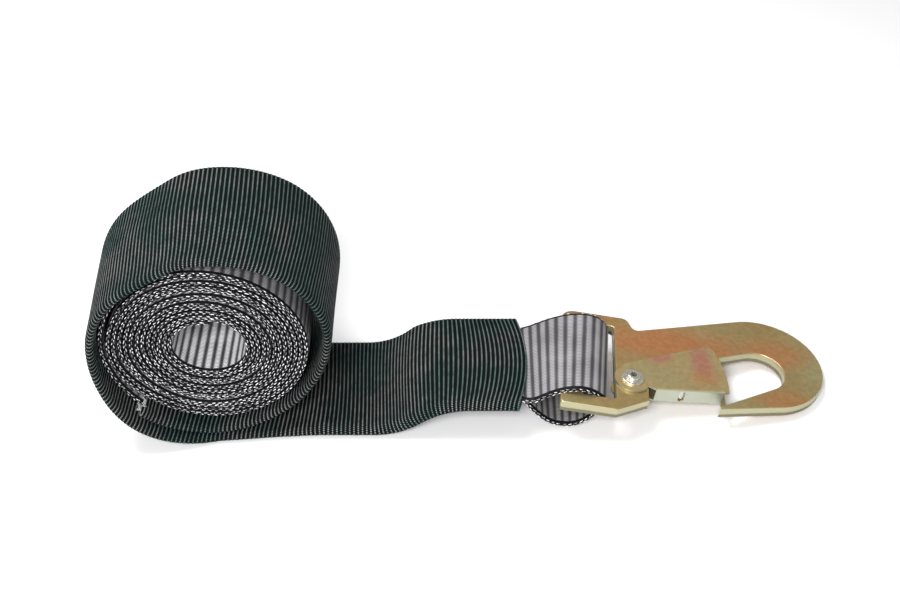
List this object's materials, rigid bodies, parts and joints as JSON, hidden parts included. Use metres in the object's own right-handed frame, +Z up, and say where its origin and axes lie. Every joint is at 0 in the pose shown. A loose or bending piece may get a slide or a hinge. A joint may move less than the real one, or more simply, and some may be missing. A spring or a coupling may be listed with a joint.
{
  "type": "tie-down strap hook end",
  "caption": "Rolled webbing tie-down strap in a tubular wear sleeve, with a stamped flat snap hook and sprung gate at its end.",
  "frame": {"origin": "on the ground under the middle of the roll, at the start of the flat underside of the sleeve", "axes": "+X along the strap from the roll to the hook, +Y across the webbing, +Z up"},
  "size_m": [0.3578, 0.0765, 0.115],
  "materials": {
    "webbing": "silver-grey polyester weave with black edges",
    "sewing_thread": "black bonded polyester thread",
    "sleeve_fabric": "black-green ribbed nylon weave",
    "yellow_zinc_steel": "satin yellow zinc with a rainbow bloom",
    "yellow_zinc_sheet": "satin yellow zinc, paler on the folds",
    "bright_zinc_steel": "bright zinc",
    "spring_steel": "blued strip steel"
  },
  "bodies": {
    "strap": {"webbing_roll": "webbing", "webbing_turn": "webbing", "webbing_run": "webbing", "webbing_lap": "webbing", "hook_loop": "webbing", "lap_stitching": "sewing_thread", "wear_sleeve_turn": "sleeve_fabric", "wear_sleeve_run": "sleeve_fabric"},
    "hook": {"hook_body": "yellow_zinc_steel", "gate_spring": "spring_steel"},
    "gate": {"gate": "yellow_zinc_sheet", "gate_rivet": "bright_zinc_steel", "rivet_washer": "bright_zinc_steel"}
  },
  "joints": [
    {"name": "hook_swing", "type": "hinge", "parent": "strap", "child": "hook", "pos_m": [0.1713, 0.0006, 0.02208], "axis": [-0.061, -0.9981, 0], "range_deg": [0, 110]},
    {"name": "gate_swing", "type": "hinge", "parent": "hook", "child": "gate", "pos_m": [0.20019, -0.01299, 0.01764], "axis": [0.1475, -0.009, 0.989], "range_deg": [0, 28], "stiffness_Nm_per_rad": 0.6, "springref_deg": -5.73, "deforming": ["gate_spring"]}
  ]
}
